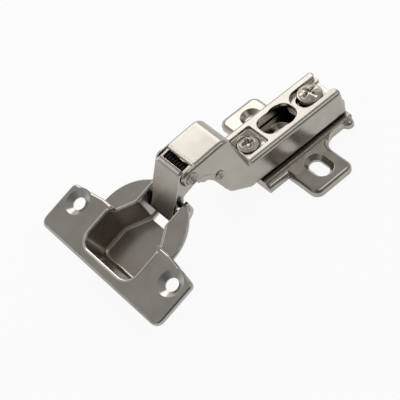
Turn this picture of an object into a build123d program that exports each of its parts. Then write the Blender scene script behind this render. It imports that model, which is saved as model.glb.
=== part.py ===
"""Concealed cabinet hinge with a cranked slide-on arm, on a winged mounting plate, standing fully open.

The frame: the origin lies midway between the two wing slots of the mounting plate, on the cabinet side
that the plate is screwed to (z = 0). +X runs along the arm, away from the door, and +Z points away
from the cabinet side. Everything is symmetric about y = 0. Millimetres throughout.
"""
import os
from math import asin, atan2, cos, degrees, hypot, pi, radians, sin
from build123d import *

# Fits
RUNNING = 0.05          # radial play of a pin that turns in its hole
SEAT_GAP = 0.2          # what the clamped faces leave when the fixing screw is loose
SIDE_GAP = 0.35         # play at each side between nested sheet parts
LINK_GAP = 0.25         # play at each side between the arm's knuckle and the outer link
OVERLAP = 0.1           # how far forms that are fused run into each other
FAR = 90.0              # cutting forms run this far past what they cut

# Mounting plate
PLATE_SHEET = 1.5
SLOT_SPACING = 32.0     # the two wing slots, one pitch of the 32 mm hole row
WOOD_SLOT_LENGTH = 8.0
WOOD_SLOT_WIDTH = 5.0
DISH_MARGIN = 1.5       # how far the countersunk dish stands out round each slot
DISH_DEPTH = 1.7
WING_LENGTH = 49.6      # across both wings
WING_FRONT = -9.4
WING_REAR = 7.9
WING_HEIGHT = 2.6
WING_CORNER = 3.0
WING_ROLL = 1.7         # radius of the rolled-down border
ROOT_RADIUS = 4.0       # between wing and foot, seen from above
REAR_ROOT_RADIUS = 5.5
FOOT_FRONT = -17.5
FOOT_REAR = 22.2
FOOT_WIDTH = 22.0
SHELF_HEIGHT = 3.5      # the step beside the arm's walls
SHELF_WIDTH = 17.6
REAR_FOOT_WIDTH = 18.2   # behind the wings
LOBE_RADIUS = 2.0       # the rolled lobes at the rear end of the foot
LOBE_NOTCH_R = 0.8
RAIL_HEIGHT = 8.6
CENTRE_HOLE_R = 2.6
CENTRE_DISH_R = 4.2
CENTRE_HOLE_X = -1.3
BOSS_R = 5.4            # threaded boss under the fixing screw

# Arm: a channel of folded sheet, cranked for an inset door
ARM_SHEET = 1.2
ARM_WIDTH = 15.7
DRAW_IN = 0.45          # how far each wall is drawn in at the cranked front
DRAW_IN_START = -22.0
DRAW_IN_END = -29.0
DRAW_IN_R = 30.0
ARM_TOP = 15.45
ARM_REAR = 20.3
ARM_BEND = 1.6          # outer bend radius along the top edges
ARM_WALL_FOOT = 4.2     # lower edge of the side walls
WALL_FOOT_FRONT = -21.9
ARM_WALL_REAR = 22.0    # rear end of the walls at their foot
ARM_TOP_FRONT = -20.3
CREST_X = -26.0         # where the crank's two top lines would meet
CREST_Z = 32.0
CREST_R = 4.2
ARM_CORNER_R = 1.4      # where the crank meets the arm's top
ARM_REAR_R = 0.8
ARM_HEEL_R = 1.5
CRANK_R = 3.0           # the walls' lower edge, at both ends of the crank's foot
THROAT_R = 5.0
WEB_FRONT = -39.4       # front edge of the web over the spring
NOSE_RADIUS = 3.5
CRANK_FOOT = (-29.6, 8.5)
CRANK_THROAT = (-36.4, 23.3)
SLOT_END_X = 5.6        # front end of the rear slot
SLOT_WIDTH = 9.5
MOUTH_ROUND = 1.3       # at the slot's mouth, seen from above
SLOT_DEPTH = 1.6        # how deep the slot's clamped floor lies below the top
WELL_LENGTH = 9.5
WELL_WIDTH = 10.2
WELL_DEPTH = 3.05
WELL_DRAFT = 14.0
KEYHOLE_FRONT = -8.7
KEYHOLE_REAR = 5.3
KEYHOLE_WIDTH = 9.0
KEYHOLE_ROUND_R = 4.9

# Screws
FIXING_X = 13.2
FIXING_SHANK_R = 2.9
FIXING_HEAD_R = 4.4
FIXING_HEAD_HEIGHT = 2.5
ADJUSTING_X = -14.9
ADJUSTING_THREAD_R = 2.5
ADJUSTING_NECK_R = 2.0
ADJUSTING_COLLAR_R = 3.4
ADJUSTING_COLLAR_HEIGHT = 1.5
ADJUSTING_HEAD_R = 3.7
ADJUSTING_HEAD_HEIGHT = 2.7
RECESS_WIDTH = 1.1
RECESS_SPAN = 4.6
RECESS_DEPTH = 1.6
DEPTH_TRAVEL = 2.0      # the arm's adjustment along the rail, each way

# Linkage: arm pins in the arm's frame, cup pins in the cup's frame (along the cup, above its flange)
FRONT_PIN = (-42.2, 27.3)
REAR_PIN = (-32.3, 20.0)
OUTER_CUP_PIN = (10.75, -7.1)
INNER_CUP_PIN = (14.65, -4.1)
FRONT_PIN_R = 1.5
REAR_PIN_R = 1.2
OUTER_CUP_PIN_R = 1.2
INNER_CUP_PIN_R = 1.0
RIVET_HEAD_R = 2.3
RIVET_HEAD_HEIGHT = 0.6
SMALL_HEAD_R = 1.8
TINY_HEAD_R = 1.5
SMALL_HEAD_HEIGHT = 0.45
OPENING_TILT = 17.7     # the cup's flange against the cabinet side when fully open, in degrees
CUP_CENTRE = (-62.47, 16.72)
CLOSED_TURN = 107.7     # how far the cup turns from fully open to closed

# Links
LINK_SHEET = 1.1
LINK_NOSE_R = 4.0       # outer radius of the rolled nose round the front pin
LINK_NOSE_WIDTH = 10.0
LINK_EYE_WIDTH = 10.6
LINK_SHOULDER = 0.9     # the strap widens this far in front of the pin
LINK_FLANGE_R = 3.8
LINK_FLANGE_DROP = 4.8  # the flanges' straight lower edge lies this far under the front pin
LINK_FLANGE_REACH = 8.4
INNER_LINK_WIDTH = 7.6
INNER_LINK_THICKNESS = 1.9
INNER_LINK_RISE = 2.4   # how far the bow stands above the line through its two eyes
INNER_EYE_WALL = 1.05

# Spring
WIRE_R = 0.5
SPRING_COIL_GAP = 0.12  # between neighbouring coils
SPRING_PIN_GAP = 0.15
SPRING_SIDE_GAP = 0.3   # least room between the coils and the outer link's walls
SPRING_LEG = 5.0
SPRING_LEG_TURN = 28.0  # the lower leg's angle to the open link's web, met near the closed end

# Cup
CUP_SHEET = 1.1
CUP_RIM_R = 17.5        # the 35 mm bore in the door
CUP_DEPTH = 11.0
CUP_DRAFT = 10.0
CUP_FLOOR_FILLET = 1.35
RIM_STEP = 1.7          # the rim's crescents lie this far under the flange
RIM_ROUND = 0.5
FLANGE_LENGTH = 61.0
FLANGE_FRONT = -19.0
FLANGE_REAR = 0.3
FLANGE_END_REAR = -1.8
FLANGE_CORNER = 3.0
FLANGE_END_R = 2.0
FLANGE_WAIST_R = 6.0    # where the flange's rear edge bends in towards the rim
FLANGE_ROLL = 0.9
DOOR_SCREW_SPACING = 48.0
DOOR_SCREW_OFFSET = -6.0
DOOR_SCREW_HOLE_R = 2.3
DOOR_SCREW_DISH_R = 4.5
DOOR_SCREW_DISH_DEPTH = 1.2
POCKET_FRONT = -15.1
POCKET_WIDTH = 25.0
POCKET_SHOULDER = -1.8  # where the sides start to draw in towards the links
POCKET_CORNER_R = 4.6
POCKET_SHOULDER_R = 3.5
POCKET_ROOT_R = 2.0
CHANNEL_START = 6.4
CHANNEL_WIDTH = 15.0
EAR_REAR = 16.4
CHANNEL_RUN_OUT = 8.0   # the channel's form runs on past the ears before it is trimmed
EAR_CORNER_R = 4.6
EAR_HEEL_RISE = 1.2     # the ears' lower corner above the pocket's floor
EAR_HEEL_START = 1.5    # where the ears' lower edge leaves the floor, behind the window's front
WINDOW_FRONT = 5.6
WINDOW_WIDTH = 9.8
WINDOW_RISE = 1.0       # how far the window reaches up the floor's rounded edge

CUP_PINS = (
    (OUTER_CUP_PIN, OUTER_CUP_PIN_R, SMALL_HEAD_R),
    (INNER_CUP_PIN, INNER_CUP_PIN_R, TINY_HEAD_R),
)
CUP_FRAME = Plane(
    origin=(CUP_CENTRE[0], 0, CUP_CENTRE[1]),
    x_dir=(cos(radians(OPENING_TILT)), 0, sin(radians(OPENING_TILT))),
    z_dir=(-sin(radians(OPENING_TILT)), 0, cos(radians(OPENING_TILT))),
)
ARM_HALF = ARM_WIDTH / 2
ARM_INNER = ARM_HALF - ARM_SHEET
KNUCKLE_HALF = ARM_HALF - DRAW_IN
LINK_HALF = KNUCKLE_HALF - ARM_SHEET - LINK_GAP
SPRING_PITCH = 2 * WIRE_R + SPRING_COIL_GAP
SPRING_ROOM = 2 * (LINK_HALF - LINK_SHEET - SPRING_SIDE_GAP - WIRE_R)
SPRING_TURNS = int(SPRING_ROOM // SPRING_PITCH)
RAIL_HALF = ARM_INNER - SIDE_GAP
SLOT_FLOOR = ARM_TOP - SLOT_DEPTH
BOSS_TOP = SLOT_FLOOR - ARM_SHEET - SEAT_GAP
WELL_FLOOR = ARM_TOP - WELL_DEPTH


def along_y(face, half_width):
    """A side-view face given width, half of it to each side of y = 0."""
    return extrude(face, amount=half_width, both=True)


def side_face(*edges):
    """A face in the side view (X across, Z up) from its boundary edges."""
    return Plane.XZ * make_face(edges)


def cross_rod(place, radius, half_width, frame=Plane.XY):
    """A round rod across the hinge at a place (along, up) of the given frame."""
    rod = Pos(place[0], 0, place[1]) * Rot(90, 0, 0) * Cylinder(radius, 2 * half_width)
    return frame.location * rod


def at_cup(place):
    """A place of the cup's frame in the arm's frame."""
    turn = radians(OPENING_TILT)
    return (
        CUP_CENTRE[0] + place[0] * cos(turn) - place[1] * sin(turn),
        CUP_CENTRE[1] + place[0] * sin(turn) + place[1] * cos(turn),
    )


def in_cup(place):
    """A place of the arm's frame in the cup's frame."""
    turn = radians(OPENING_TILT)
    dx, dz = place[0] - CUP_CENTRE[0], place[1] - CUP_CENTRE[1]
    return (dx * cos(turn) + dz * sin(turn), -dx * sin(turn) + dz * cos(turn))


def turned(vector, angle):
    """A side-view vector turned by an angle in radians."""
    return (
        vector[0] * cos(angle) - vector[1] * sin(angle),
        vector[0] * sin(angle) + vector[1] * cos(angle),
    )


def cross_recess(x, top):
    """The driver's cross in a screw head, with its pointed centre."""
    arms = Box(RECESS_SPAN, RECESS_WIDTH, RECESS_DEPTH) + Box(RECESS_WIDTH, RECESS_SPAN, RECESS_DEPTH)
    cone = Cone(RECESS_WIDTH, 0.3 * RECESS_WIDTH, 1.3 * RECESS_DEPTH, align=(Align.CENTER, Align.CENTER, Align.MIN))
    tip = Pos(0, 0, -RECESS_DEPTH / 2) * Rot(180, 0, 0) * Pos(0, 0, -RECESS_DEPTH) * cone
    return Pos(x, 0, top - RECESS_DEPTH / 2) * Rot(0, 0, 45) * (arms + tip)


def upright(x, radius, low, high):
    """A vertical cylinder between two heights."""
    return Pos(x, 0, low) * Cylinder(radius, high - low, align=(Align.CENTER, Align.CENTER, Align.MIN))


def open_slot(x_end, width, low, high, direction, reach=FAR):
    """A slot with one round end at x_end, open towards +X or -X."""
    radius = width / 2
    centre = x_end + direction * radius
    body = Pos(centre + direction * reach / 2, 0, low) * Box(
        reach, width, high - low, align=(Align.CENTER, Align.CENTER, Align.MIN)
    )
    return body + upright(centre, radius, low, high)


# Mounting plate

def foot_outline(inset):
    """The plate seen from above, drawn in by the sheet for its hollow underside."""
    wing_sides = (WING_FRONT + inset, WING_REAR - inset)
    wings = Rectangle(wing_sides[1] - wing_sides[0], WING_LENGTH - 2 * inset)
    wings = Pos((WING_FRONT + WING_REAR) / 2, 0) * wings
    front = Pos((FOOT_FRONT + inset + wing_sides[1]) / 2, 0) * Rectangle(
        wing_sides[1] - FOOT_FRONT - inset, FOOT_WIDTH - 2 * inset
    )
    rear = Pos((FOOT_REAR - inset) / 2, 0) * Rectangle(FOOT_REAR - inset, REAR_FOOT_WIDTH - 2 * inset)
    outline = wings + front + rear
    roots = [v for v in outline.vertices() if is_root(v, wing_sides[0], FOOT_WIDTH / 2 - inset)]
    rear_roots = [v for v in outline.vertices() if is_root(v, wing_sides[1], REAR_FOOT_WIDTH / 2 - inset)]
    outline = fillet(roots, ROOT_RADIUS)
    outline = fillet(rear_roots, REAR_ROOT_RADIUS)
    corners = [v for v in outline.vertices() if abs(v.Y) > WING_LENGTH / 2 - inset - 0.01]
    return fillet(corners, WING_CORNER - inset / 2)


def is_root(vertex, x, half_width):
    """Whether a corner of the plate's outline lies at the root of a wing."""
    return abs(vertex.X - x) < 0.01 and abs(abs(vertex.Y) - half_width) < 0.01


def lobed_outline():
    """The plate seen from above with the two lobes at the rear of its foot."""
    outline = foot_outline(0)
    for side in (-1, 1):
        outline += Pos(FOOT_REAR - LOBE_RADIUS, side * REAR_FOOT_WIDTH / 2) * Circle(LOBE_RADIUS)
    notch_x = FOOT_REAR - 2 * LOBE_RADIUS
    notches = [v for v in outline.vertices() if is_root(v, notch_x, REAR_FOOT_WIDTH / 2)]
    return fillet(notches, LOBE_NOTCH_R)


def rail_profile(inset):
    """Cross-section of the rail and its shelf, seen along the arm."""
    half_foot = FOOT_WIDTH / 2 - inset
    half_shelf = SHELF_WIDTH / 2 - inset
    half_rail = RAIL_HALF - inset
    shelf = SHELF_HEIGHT - inset
    top = RAIL_HEIGHT - inset
    points = [
        (-half_foot, -inset), (-half_foot, 0.6), (-half_shelf, shelf), (-half_rail, shelf), (-half_rail, top),
        (half_rail, top), (half_rail, shelf), (half_shelf, shelf), (half_foot, 0.6), (half_foot, -inset),
    ]
    return Plane.YZ * make_face(Polyline(*points, close=True))


def rail_body(inset):
    """The rail as a solid from end to end, drawn in by the sheet for its hollow."""
    body = extrude(rail_profile(inset), amount=FOOT_REAR - FOOT_FRONT - 2 * inset)
    return Pos(FOOT_FRONT + inset, 0, 0) * body


def make_mounting_plate():
    """Pressed sheet: two wings with dished slots, a foot with rolled edges, and the rail the arm sits over."""
    skirt = extrude(lobed_outline(), amount=WING_HEIGHT)
    skirt = fillet(skirt.edges().group_by(Axis.Z)[-1], WING_ROLL)
    plate = skirt + (rail_body(0) & extrude(foot_outline(0), amount=FAR))
    inner = foot_outline(PLATE_SHEET)
    hollow = extrude(inner, amount=WING_HEIGHT - PLATE_SHEET) + (rail_body(PLATE_SHEET) & extrude(inner, amount=FAR))
    plate -= hollow
    for side in (-1, 1):
        spot = Pos(0, side * SLOT_SPACING / 2)
        around = SlotOverall(WOOD_SLOT_LENGTH + 2 * DISH_MARGIN + PLATE_SHEET,
                             WOOD_SLOT_WIDTH + 2 * DISH_MARGIN + PLATE_SHEET, rotation=90)
        plate += extrude(spot * around, amount=WING_HEIGHT - 0.05)
    for side in (-1, 1):
        spot = Pos(0, side * SLOT_SPACING / 2)
        slot = spot * SlotOverall(WOOD_SLOT_LENGTH, WOOD_SLOT_WIDTH, rotation=90)
        draft = degrees(atan2(DISH_MARGIN, DISH_DEPTH))
        plate -= extrude(Pos(0, 0, WING_HEIGHT - DISH_DEPTH) * slot, amount=DISH_DEPTH, taper=-draft)
        plate -= extrude(slot, amount=WING_HEIGHT)
    plate += upright(FIXING_X, BOSS_R, RAIL_HEIGHT - PLATE_SHEET, BOSS_TOP)
    plate -= upright(FIXING_X, FIXING_SHANK_R + RUNNING, 0, BOSS_TOP)
    slot_end = ADJUSTING_X + DEPTH_TRAVEL + ADJUSTING_NECK_R + 0.4
    neck_width = 2 * ADJUSTING_NECK_R + 0.3
    plate -= open_slot(slot_end, neck_width, RAIL_HEIGHT - PLATE_SHEET, RAIL_HEIGHT, -1)
    below = RAIL_HEIGHT - PLATE_SHEET
    plate -= open_slot(slot_end, 2 * ADJUSTING_COLLAR_R + 0.6, SHELF_HEIGHT, below, -1)
    dish = Pos(CENTRE_HOLE_X, 0, RAIL_HEIGHT - PLATE_SHEET) * Cone(
        CENTRE_HOLE_R, CENTRE_DISH_R, PLATE_SHEET, align=(Align.CENTER, Align.CENTER, Align.MIN)
    )
    plate -= dish + upright(CENTRE_HOLE_X, CENTRE_HOLE_R, SHELF_HEIGHT, RAIL_HEIGHT)
    return plate


# Arm

def arm_top_line(inset):
    """The top line of the arm from its rear end to the nose, moved inward by the sheet."""
    slope = atan2(CREST_Z - ARM_TOP, ARM_TOP_FRONT - CREST_X)
    knuckle_z = FRONT_PIN[1] + NOSE_RADIUS
    rise = atan2(CREST_Z - knuckle_z, CREST_X - FRONT_PIN[0])
    corner_front = (ARM_TOP_FRONT - inset * (1 - cos(slope)) / sin(slope), ARM_TOP - inset)
    half_crest = (slope + rise) / 2
    lean = (slope - rise) / 2
    reach = inset / cos(half_crest)
    crest = (CREST_X - reach * sin(lean), CREST_Z - reach * cos(lean))
    nose_top = (FRONT_PIN[0] + inset * sin(rise), knuckle_z - inset * cos(rise))
    return corner_front, crest, nose_top


def arm_plan(inset):
    """The arm's width seen from above, drawn in at the crank, as a tall solid."""
    wide, narrow = ARM_HALF - inset, KNUCKLE_HALF - inset
    side = [(FAR, wide), (DRAW_IN_START, wide), (DRAW_IN_END, narrow), (-FAR, narrow)]
    other = [(x, -y) for x, y in reversed(side)]
    radii = [0.1, DRAW_IN_R, DRAW_IN_R, 0.1, 0.1, DRAW_IN_R, DRAW_IN_R, 0.1]
    return extrude(make_face(FilletPolyline(*side, *other, radius=radii, close=True)), amount=FAR, both=True)


def make_hinge_arm():
    """Folded channel: web on top, two walls, the crank, its nose round the front pin, and the pressed seats."""
    corner, crest, nose_top = arm_top_line(0)
    nose = (FRONT_PIN[0], FRONT_PIN[1])
    outline = FilletPolyline(
        (nose_top[0], nose_top[1]), (crest[0], crest[1]), (corner[0], corner[1]), (ARM_REAR, ARM_TOP),
        (ARM_REAR + 1.2, 8.6), (ARM_WALL_REAR, ARM_WALL_FOOT), (WALL_FOOT_FRONT, ARM_WALL_FOOT),
        CRANK_FOOT, CRANK_THROAT, (nose[0], nose[1] - NOSE_RADIUS),
        radius=[CREST_R, ARM_CORNER_R, ARM_REAR_R, ARM_HEEL_R, ARM_REAR_R, CRANK_R, CRANK_R, THROAT_R],
    )
    nose_arc = ThreePointArc(
        (nose[0], nose[1] - NOSE_RADIUS), (nose[0] - NOSE_RADIUS, nose[1]), (nose_top[0], nose_top[1])
    )
    body = along_y(side_face(outline, nose_arc), ARM_HALF) & arm_plan(0)
    rim = [e for e in body.edges() if abs(e.center().Y) > KNUCKLE_HALF - 0.01 and above_arm(e.center())]
    body = fillet(rim, ARM_BEND)
    inner_corner, inner_crest, inner_nose = arm_top_line(ARM_SHEET)
    hollow_line = FilletPolyline(
        (-FAR, -FAR), (-FAR, FAR), (WEB_FRONT, FAR),
        (WEB_FRONT, web_height(WEB_FRONT)), (inner_crest[0], inner_crest[1]), (inner_corner[0], inner_corner[1]),
        (FAR, ARM_TOP - ARM_SHEET), (FAR, -FAR),
        radius=[0.01, 0.01, 0.01, 0.01, CREST_R - ARM_SHEET, 2.6, 0.01, 0.01], close=True,
    )
    arm = body - (along_y(side_face(hollow_line), ARM_INNER) & arm_plan(ARM_SHEET))
    arm = with_well(arm)
    arm = with_rear_slot(arm)
    keyhole_length = KEYHOLE_REAR - KEYHOLE_FRONT
    keyhole = Pos((KEYHOLE_REAR + KEYHOLE_FRONT) / 2, 0) * RectangleRounded(keyhole_length, KEYHOLE_WIDTH, 3.6)
    keyhole += Pos(KEYHOLE_REAR - KEYHOLE_ROUND_R, 0) * Circle(KEYHOLE_ROUND_R)
    arm -= extrude(Pos(0, 0, ARM_TOP - 2 * ARM_SHEET) * keyhole, amount=3 * ARM_SHEET)
    for place, radius in ((FRONT_PIN, FRONT_PIN_R), (REAR_PIN, REAR_PIN_R)):
        arm -= cross_rod(place, radius, ARM_WIDTH)
    return arm


def web_height(x):
    """Height of the web's inner face above a place between the nose and the crest."""
    _, crest, nose_top = arm_top_line(ARM_SHEET)
    share = (x - nose_top[0]) / (crest[0] - nose_top[0])
    return nose_top[1] + share * (crest[1] - nose_top[1])


def above_arm(point):
    """Whether a point lies on the arm's top line, so that its edge is a bend."""
    corner, crest, nose_top = arm_top_line(0)
    if point.X > corner[0]:
        return point.Z > ARM_TOP - 0.5 and point.X < ARM_REAR - 0.5
    if point.X > crest[0]:
        share = (point.X - crest[0]) / (corner[0] - crest[0])
        return point.Z > crest[1] + share * (corner[1] - crest[1]) - 1.5
    return point.Z > nose_top[1] - 0.5 and point.X > nose_top[0]


def with_well(arm):
    """The square well in the front of the web, with the adjusting screw's threaded hole in its floor."""
    mouth = Pos(ADJUSTING_X + 0.35, 0, ARM_TOP) * RectangleRounded(WELL_LENGTH, WELL_WIDTH, 0.9)
    outside = Pos(ADJUSTING_X + 0.35, 0, ARM_TOP) * RectangleRounded(
        WELL_LENGTH + 1.8 * ARM_SHEET, WELL_WIDTH + 1.8 * ARM_SHEET, 1.6
    )
    pan = extrude(outside, amount=-WELL_DEPTH - ARM_SHEET, taper=WELL_DRAFT)
    pan &= Pos(ADJUSTING_X, 0, ARM_TOP - ARM_SHEET / 4) * Box(
        FAR, 2 * (ARM_INNER + OVERLAP), FAR, align=(Align.CENTER, Align.CENTER, Align.MAX)
    )
    arm = arm + pan
    arm -= extrude(mouth, amount=-WELL_DEPTH, taper=WELL_DRAFT)
    return arm - upright(ADJUSTING_X, ADJUSTING_THREAD_R + 0.1, WELL_FLOOR - 2 * ARM_SHEET, WELL_FLOOR + 1)


def with_rear_slot(arm):
    """The slot open to the rear, its floor pressed down to be clamped by the fixing screw."""
    arm += open_slot(SLOT_END_X - ARM_SHEET, SLOT_WIDTH + 2 * ARM_SHEET, SLOT_FLOOR - ARM_SHEET,
                     ARM_TOP - ARM_SHEET / 2, 1, ARM_REAR - SLOT_END_X - SLOT_WIDTH / 2)
    arm -= open_slot(SLOT_END_X, SLOT_WIDTH, SLOT_FLOOR, ARM_TOP + 1, 1)
    for side in (-1, 1):
        start = ARM_REAR - MOUTH_ROUND
        corner = Pos(start + FAR / 2, side * (SLOT_WIDTH + MOUTH_ROUND) / 2) * Rectangle(FAR, MOUTH_ROUND)
        corner -= Pos(start, side * (SLOT_WIDTH / 2 + MOUTH_ROUND)) * Circle(MOUTH_ROUND)
        arm -= extrude(Pos(0, 0, SLOT_FLOOR - ARM_SHEET) * corner, amount=FAR)
    shank = FIXING_SHANK_R + 0.25
    inner_end = FIXING_X - DEPTH_TRAVEL - FIXING_SHANK_R - 0.6
    return arm - open_slot(inner_end, 2 * shank, SLOT_FLOOR - 2 * ARM_SHEET, SLOT_FLOOR + 1, 1)


# Screws

def make_fixing_screw():
    """The screw that clamps the arm on the plate's boss."""
    seat = SLOT_FLOOR + SEAT_GAP
    screw = upright(FIXING_X, FIXING_SHANK_R, RAIL_HEIGHT - 2 * PLATE_SHEET, seat)
    head = upright(FIXING_X, FIXING_HEAD_R, seat, seat + FIXING_HEAD_HEIGHT)
    head = fillet(head.edges().group_by(Axis.Z)[-1], 0.7)
    return screw + head - cross_recess(FIXING_X, seat + FIXING_HEAD_HEIGHT)


def make_side_adjusting_screw():
    """Threaded in the arm's well, with a neck and a collar that ride in the plate's front slot."""
    under = RAIL_HEIGHT - PLATE_SHEET - 0.1
    screw = upright(ADJUSTING_X, ADJUSTING_NECK_R, under, RAIL_HEIGHT + 0.1)
    screw += upright(ADJUSTING_X, ADJUSTING_THREAD_R, RAIL_HEIGHT + 0.1, WELL_FLOOR + 0.1)
    screw += upright(ADJUSTING_X, ADJUSTING_COLLAR_R, under - ADJUSTING_COLLAR_HEIGHT, under)
    top = WELL_FLOOR + 0.1 + ADJUSTING_HEAD_HEIGHT
    head = upright(ADJUSTING_X, ADJUSTING_HEAD_R, WELL_FLOOR + 0.1, top)
    head = chamfer(head.edges().group_by(Axis.Z)[-1], 0.5)
    return screw + head - cross_recess(ADJUSTING_X, top)


# Pins

def riveted_pin(place, radius, half_width, head_radius, head_height, frame=Plane.XY):
    """A pin with a low domed head formed on each side."""
    pin = cross_rod(place, radius, half_width, frame)
    for side in (-1, 1):
        head = Cylinder(head_radius, head_height, align=(Align.CENTER, Align.CENTER, Align.MIN))
        head = fillet(head.edges().group_by(Axis.Z)[-1], 0.6 * head_height)
        pin += frame.location * (Pos(place[0], side * half_width, place[1]) * Rot(-90 * side, 0, 0) * head)
    return pin


def wall_half_width(depth):
    """Outer half width of the cup's channel at a depth under the flange."""
    return CHANNEL_WIDTH / 2 + CUP_SHEET - depth * sin(radians(CUP_DRAFT)) / cos(radians(CUP_DRAFT))


# Links

def link_web():
    """Ends of the outer link's web in the cup's frame: the tangent line to its nose and its eye."""
    front = in_cup(FRONT_PIN)
    eye_r = OUTER_CUP_PIN_R + RUNNING + LINK_SHEET
    dx, dz = front[0] - OUTER_CUP_PIN[0], front[1] - OUTER_CUP_PIN[1]
    angle = atan2(dz, dx) + asin((LINK_NOSE_R - eye_r) / hypot(dx, dz))
    return front, eye_r, angle


def make_outer_link():
    """A folded strap: nose rolled over the front pin, side flanges that carry it, and an eye at the cup's pin."""
    front, eye_r, angle = link_web()
    normal = (-sin(angle), cos(angle))
    along = (cos(angle), sin(angle))

    def off(centre, radius, direction=normal):
        return (centre[0] + radius * direction[0], centre[1] + radius * direction[1])

    nose_turn = radians(42)
    end_dir = turned(normal, -nose_turn)
    mid_dir = turned(normal, -nose_turn / 2)
    wrap = radians(265)
    eye_end, eye_mid = turned(normal, wrap), turned(normal, wrap / 2)
    inner_nose, inner_eye = LINK_NOSE_R - LINK_SHEET, eye_r - LINK_SHEET
    web = side_face(
        Line(off(front, LINK_NOSE_R), off(OUTER_CUP_PIN, eye_r)),
        ThreePointArc(off(OUTER_CUP_PIN, eye_r), off(OUTER_CUP_PIN, eye_r, eye_mid), off(OUTER_CUP_PIN, eye_r, eye_end)),
        Line(off(OUTER_CUP_PIN, eye_r, eye_end), off(OUTER_CUP_PIN, inner_eye, eye_end)),
        ThreePointArc(off(OUTER_CUP_PIN, inner_eye, eye_end), off(OUTER_CUP_PIN, inner_eye, eye_mid),
                      off(OUTER_CUP_PIN, inner_eye)),
        Line(off(OUTER_CUP_PIN, inner_eye), off(front, inner_nose)),
        ThreePointArc(off(front, inner_nose), off(front, inner_nose, mid_dir), off(front, inner_nose, end_dir)),
        Line(off(front, inner_nose, end_dir), off(front, LINK_NOSE_R, end_dir)),
        ThreePointArc(off(front, LINK_NOSE_R, end_dir), off(front, LINK_NOSE_R, mid_dir), off(front, LINK_NOSE_R)),
    )
    strap = along_y(web, LINK_HALF) & link_plan(front, angle)
    flange = flange_face(front, along, normal)
    cheeks = along_y(flange, LINK_HALF) - along_y(flange, LINK_HALF - LINK_SHEET)
    link = strap + cheeks
    link -= cross_rod(front, FRONT_PIN_R + RUNNING, ARM_WIDTH)
    return CUP_FRAME.location * link


def flange_face(front, along, normal):
    """Side view of the outer link's flanges in the cup's frame, from the web to round the front pin."""
    low = front[1] - LINK_FLANGE_DROP
    web_low = (front[0] + (LINK_NOSE_R - 0.2) * normal[0] - LINK_FLANGE_REACH * along[0],
               front[1] + (LINK_NOSE_R - 0.2) * normal[1] - LINK_FLANGE_REACH * along[1])
    web_high = (front[0] + (LINK_NOSE_R - 0.2) * normal[0] + LINK_SHOULDER * along[0],
                front[1] + (LINK_NOSE_R - 0.2) * normal[1] + LINK_SHOULDER * along[1])
    outline = FilletPolyline(
        web_high, web_low, (web_low[0] + 2.2, low), (front[0] + 0.6, low),
        (front[0] + LINK_FLANGE_R, front[1] - 1.5), (front[0] + LINK_FLANGE_R - 0.6, front[1] + LINK_FLANGE_R - 1.4),
        radius=[0.5, 1.1, 1.8, 1.6, 1.4, 0.2], close=True,
    )
    return side_face(outline)


def link_plan(front, angle):
    """The strap's outline seen square to its web: narrow nose, wide middle, narrower eye."""
    length = hypot(front[0] - OUTER_CUP_PIN[0], front[1] - OUTER_CUP_PIN[1])
    nose, top, eye = LINK_NOSE_WIDTH / 2, LINK_HALF, LINK_EYE_WIDTH / 2
    points = [
        (FAR, nose), (LINK_SHOULDER, nose), (LINK_SHOULDER, top), (-0.5 * length, top), (-0.75 * length, eye),
        (-FAR, eye),
    ]
    mirrored = [(x, -y) for x, y in reversed(points)]
    sheet = extrude(make_face(Polyline(*points, *mirrored, close=True)), amount=FAR, both=True)
    return Pos(front[0], 0, front[1]) * Rot(0, -degrees(angle), 0) * sheet


def inner_link_path():
    """Places in the cup's frame through which the inner link's bow runs, from the rear pin to the cup."""
    rear = in_cup(REAR_PIN)
    dx, dz = rear[0] - INNER_CUP_PIN[0], rear[1] - INNER_CUP_PIN[1]
    length = hypot(dx, dz)
    along = (dx / length, dz / length)
    up = (-along[1], along[0])
    middle = (INNER_CUP_PIN[0] + dx / 2 + INNER_LINK_RISE * up[0],
              INNER_CUP_PIN[1] + dz / 2 + INNER_LINK_RISE * up[1])
    return rear, middle, along, up, length


def loop_play():
    """How far the rear pin strays in the inner link's eye over the travel, along and across the link.

    The real four-bar turns its links unevenly. Here each link turns in proportion to the cup, which
    closes the loop at both ends of the travel, and the eye is a slot that takes up the rest.
    """
    outer_turn, inner_turn = closing_turns()
    b_open, d_open = at_cup(OUTER_CUP_PIN), at_cup(INNER_CUP_PIN)
    rear_arm = (REAR_PIN[0] - d_open[0], REAR_PIN[1] - d_open[1])
    chord = hypot(*rear_arm)
    spots = []
    for step in range(13):
        share = step / 12
        outer = turned((b_open[0] - FRONT_PIN[0], b_open[1] - FRONT_PIN[1]), share * outer_turn)
        bar = turned((d_open[0] - b_open[0], d_open[1] - b_open[1]), -share * radians(CLOSED_TURN))
        d_now = (FRONT_PIN[0] + outer[0] + bar[0], FRONT_PIN[1] + outer[1] + bar[1])
        pin = turned((REAR_PIN[0] - d_now[0], REAR_PIN[1] - d_now[1]), -share * inner_turn)
        off = (pin[0] - rear_arm[0], pin[1] - rear_arm[1])
        spots.append(((off[0] * rear_arm[0] + off[1] * rear_arm[1]) / chord,
                      (-off[0] * rear_arm[1] + off[1] * rear_arm[0]) / chord))
    return spots


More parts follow.
